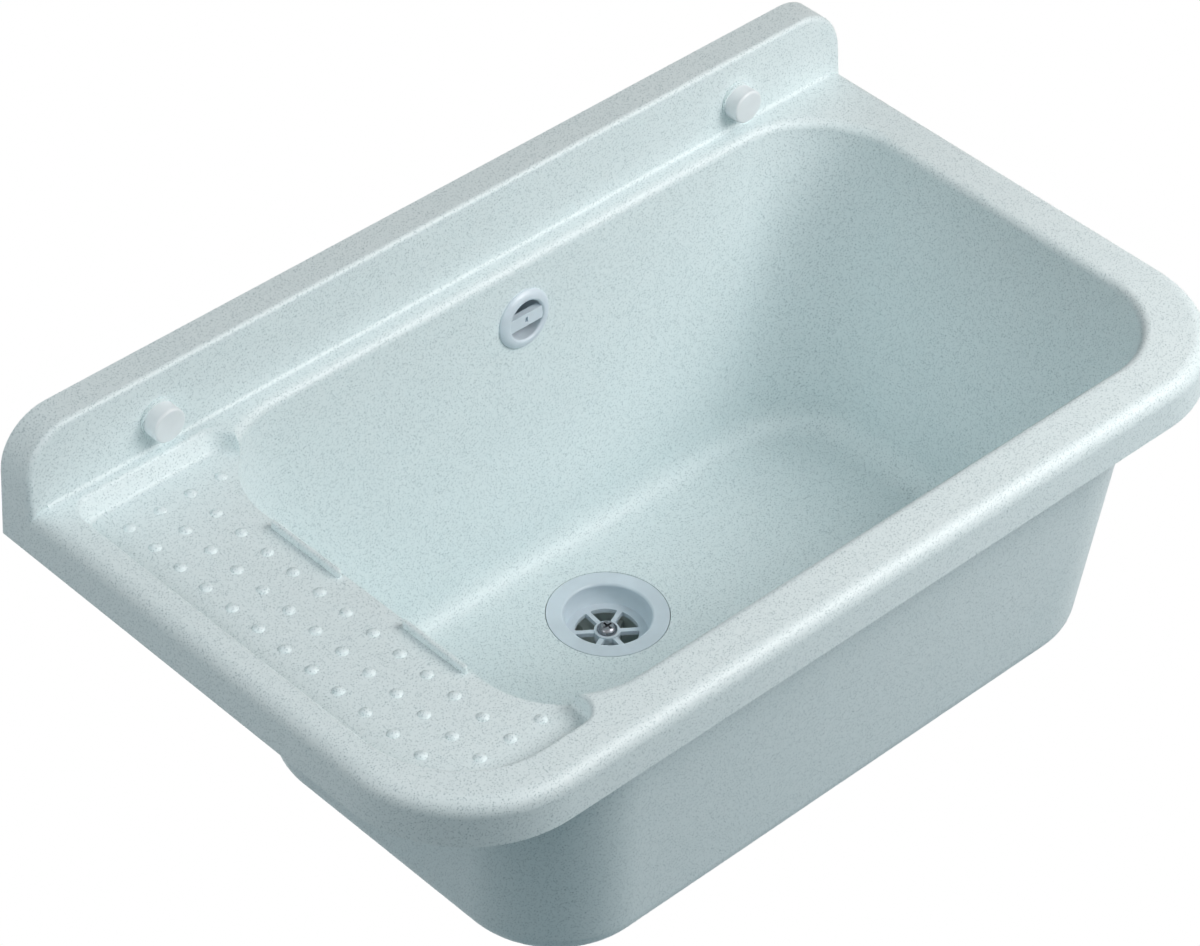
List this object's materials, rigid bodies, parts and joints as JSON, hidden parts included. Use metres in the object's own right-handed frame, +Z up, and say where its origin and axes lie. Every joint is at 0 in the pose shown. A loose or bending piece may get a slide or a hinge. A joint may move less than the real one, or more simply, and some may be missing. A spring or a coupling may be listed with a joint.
{
  "type": "outdoor washbasin",
  "caption": "Wall-hung rectangular washbasin with a low backsplash, a studded soap tray beside its deep bowl, an overflow and a strainer waste.",
  "frame": {"origin": "midpoint between the two wall fixing holes, in the plane of the wall", "axes": "+Z up, +Y into the wall, so the basin faces -Y; +X to the right along the backsplash"},
  "size_m": [0.597, 0.347, 0.334],
  "materials": {
    "shell": "satin, with fine dark speckles",
    "trim": "smooth",
    "fitting": "smooth",
    "seal": "matt",
    "steel": "polished",
    "brass": "machined"
  },
  "bodies": {
    "basin": {"basin_shell": "shell", "cap_seat_left": "trim", "cap_seat_right": "trim", "overflow_gasket": "seal", "overflow_elbow": "fitting", "overflow_nut_upper": "fitting", "overflow_seal_upper": "seal", "overflow_pipe": "fitting", "overflow_nut_lower": "fitting", "overflow_seal_lower": "seal", "strainer_flange": "trim", "flange_seal": "seal", "waste_seal": "seal", "waste_body": "fitting", "screw_insert": "brass"},
    "left_cap": {"screw_cap_left": "trim"},
    "right_cap": {"screw_cap_right": "trim"},
    "rosette": {"overflow_rosette": "trim"},
    "screw": {"strainer_screw": "steel"}
  },
  "joints": [
    {"name": "left_cap_pull", "type": "slide", "parent": "basin", "child": "left_cap", "axis": [0, -1, 0], "range_m": [0, 0.012]},
    {"name": "right_cap_pull", "type": "slide", "parent": "basin", "child": "right_cap", "axis": [0, -1, 0], "range_m": [0, 0.012]},
    {"name": "rosette_turn", "type": "hinge", "parent": "basin", "child": "rosette", "pos_m": [0.03275, -0.0392, -0.054], "axis": [0, -0.9966, 0.0819], "continuous": true},
    {"name": "screw_turn", "type": "hinge", "parent": "basin", "child": "screw", "pos_m": [0.03275, -0.1152, -0.236], "axis": [0, 0, 1], "continuous": true}
  ]
}
